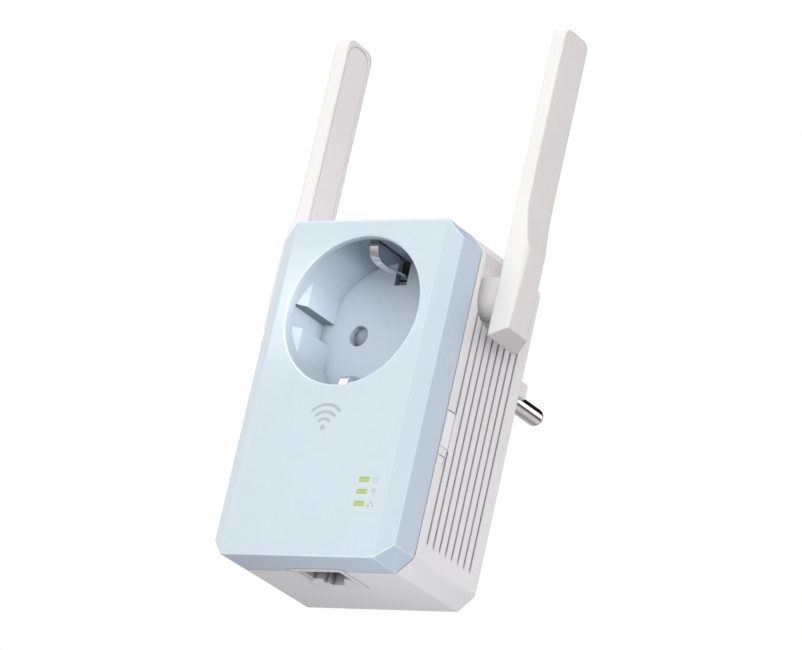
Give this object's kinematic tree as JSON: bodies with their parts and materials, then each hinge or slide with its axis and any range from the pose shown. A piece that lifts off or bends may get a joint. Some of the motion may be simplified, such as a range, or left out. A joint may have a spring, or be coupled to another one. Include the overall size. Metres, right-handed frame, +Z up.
{
  "type": "wifi range extender",
  "caption": "Plug-in wifi range extender with a pass-through mains socket, folding side antennas, a network port underneath and a round-pin mains plug behind.",
  "frame": {"origin": "centre of the mains plug's engagement face, midway between its two pins", "axes": "+Z up, the front face looks along -Y, the pins point along +Y, +X is to the right seen from the front"},
  "size_m": [0.0772, 0.076, 0.1487],
  "materials": {
    "pale_blue_plastic": "fine satin moulding texture",
    "white_plastic": "fine satin moulding texture",
    "antenna_plastic": "satin",
    "button_plastic": "satin",
    "chrome_pin": "polished nickel plate",
    "spring_steel": "bright drawn strip",
    "contact_brass": "stamped",
    "contact_gold": "gold flash",
    "shutter_grey": "satin",
    "board_green": "solder mask",
    "black_plastic": "moulded",
    "switch_plunger": "moulded",
    "shield_tin": "tin plate",
    "light_pipe": "translucent, lit green",
    "led_green": "lit",
    "jack_plastic": "moulded",
    "capacitor_sleeve": "shrink sleeve",
    "suppression_box": "potted box",
    "ferrite": "sintered",
    "winding_tape": "polyester tape",
    "fuse_glass": "clear",
    "wire_insulation": "pvc",
    "coax_jacket": "fep",
    "screw_steel": "zinc plated",
    "plate_grey": "printed film, left blank"
  },
  "bodies": {
    "housing": {"board_screws": "screw_steel", "bridge_rectifier": "black_plastic", "bulk_capacitors": "capacitor_sleeve", "contact_carrier": "shutter_grey", "dc_wires": "wire_insulation", "earth_link": "contact_brass", "earth_spring": "spring_steel", "ethernet_jack": "jack_plastic", "front_cover": "pale_blue_plastic", "housing_screws": "screw_steel", "jack_contacts": "contact_gold", "left_coax": "coax_jacket", "light_pipes": "light_pipe", "main_board": "board_green", "mains_fuse": "fuse_glass", "mains_wires": "wire_insulation", "output_capacitor": "capacitor_sleeve", "pair_switch": "black_plastic", "plug_base": "white_plastic", "plug_earth_strip": "spring_steel", "plug_pin_left": "chrome_pin", "plug_pin_right": "chrome_pin", "power_board": "board_green", "rating_plate": "plate_grey", "rear_housing": "white_plastic", "reset_switch": "black_plastic", "rf_shield": "shield_tin", "right_coax": "coax_jacket", "shutter_spring": "spring_steel", "socket_contact_left": "contact_brass", "socket_contact_right": "contact_brass", "socket_well": "pale_blue_plastic", "status_leds": "led_green", "suppression_capacitor": "suppression_box", "transformer_core": "ferrite", "transformer_winding": "winding_tape", "wireless_chip": "black_plastic"},
    "left_antenna": {"left_antenna_shell": "antenna_plastic", "left_antenna_cover": "antenna_plastic", "left_radiator": "board_green", "left_antenna_lead": "coax_jacket", "left_friction_washer": "spring_steel", "left_retaining_clip": "spring_steel"},
    "right_antenna": {"right_antenna_shell": "antenna_plastic", "right_antenna_cover": "antenna_plastic", "right_radiator": "board_green", "right_antenna_lead": "coax_jacket", "right_friction_washer": "spring_steel", "right_retaining_clip": "spring_steel"},
    "pair_button_body": {"pair_button": "button_plastic", "pair_plunger": "switch_plunger"},
    "reset_button_body": {"reset_button": "button_plastic", "reset_plunger": "switch_plunger"},
    "shutter": {"socket_shutter": "shutter_grey"}
  },
  "joints": [
    {"name": "left_antenna_hinge", "type": "hinge", "parent": "housing", "child": "left_antenna", "pos_m": [-0.0274, -0.0364, 0.01], "axis": [1, 0, 0], "range_deg": [0, 180]},
    {"name": "right_antenna_hinge", "type": "hinge", "parent": "housing", "child": "right_antenna", "pos_m": [0.0274, -0.0364, 0.01], "axis": [1, 0, 0], "range_deg": [0, 180]},
    {"name": "pair_button_press", "type": "slide", "parent": "housing", "child": "pair_button_body", "axis": [-1, 0, 0], "range_m": [0, 0.0005], "stiffness_N_per_m": 1500},
    {"name": "reset_button_press", "type": "slide", "parent": "housing", "child": "reset_button_body", "axis": [-1, 0, 0], "range_m": [0, 0.0005], "stiffness_N_per_m": 1500},
    {"name": "shutter_slide", "type": "slide", "parent": "housing", "child": "shutter", "axis": [0, 0, 1], "range_m": [0, 0.006], "stiffness_N_per_m": 120, "springref_m": -0.002, "deforming": ["shutter_spring"]}
  ]
}
